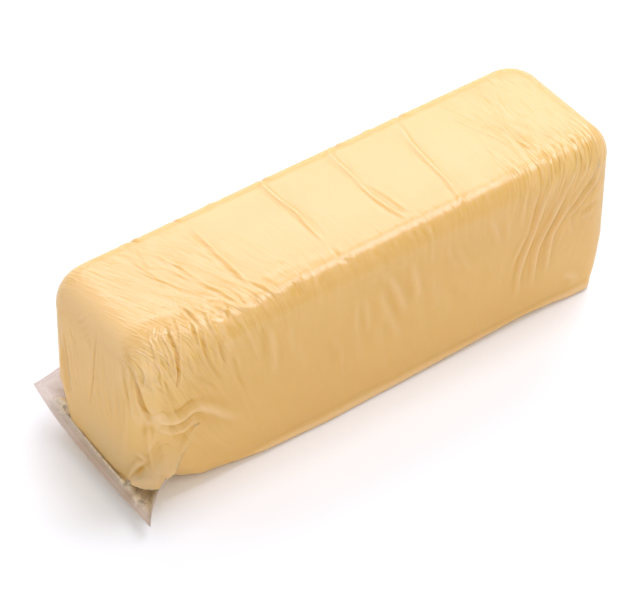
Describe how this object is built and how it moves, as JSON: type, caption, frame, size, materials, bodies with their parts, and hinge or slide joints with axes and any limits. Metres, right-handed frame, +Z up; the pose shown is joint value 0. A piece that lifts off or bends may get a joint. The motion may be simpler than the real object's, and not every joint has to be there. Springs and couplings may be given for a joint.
{
  "type": "mozzarella loaf",
  "caption": "Rectangular loaf of low-moisture mozzarella in a clear shrink bag, with a flattened sealed end and small ears at the foot of one end.",
  "frame": {"origin": "middle of the loaf's flat base, on the surface that it rests on", "axes": "+Z up; +X along the loaf's length, away from the sealed end of the bag; -Y is the long side nearer the viewer when the sealed end is on the left"},
  "size_m": [0.2865, 0.1069, 0.0939],
  "materials": {
    "filmed_cheese": "satin"
  },
  "bodies": {
    "root": {"sealed_loaf": "filmed_cheese"}
  },
  "joints": []
}
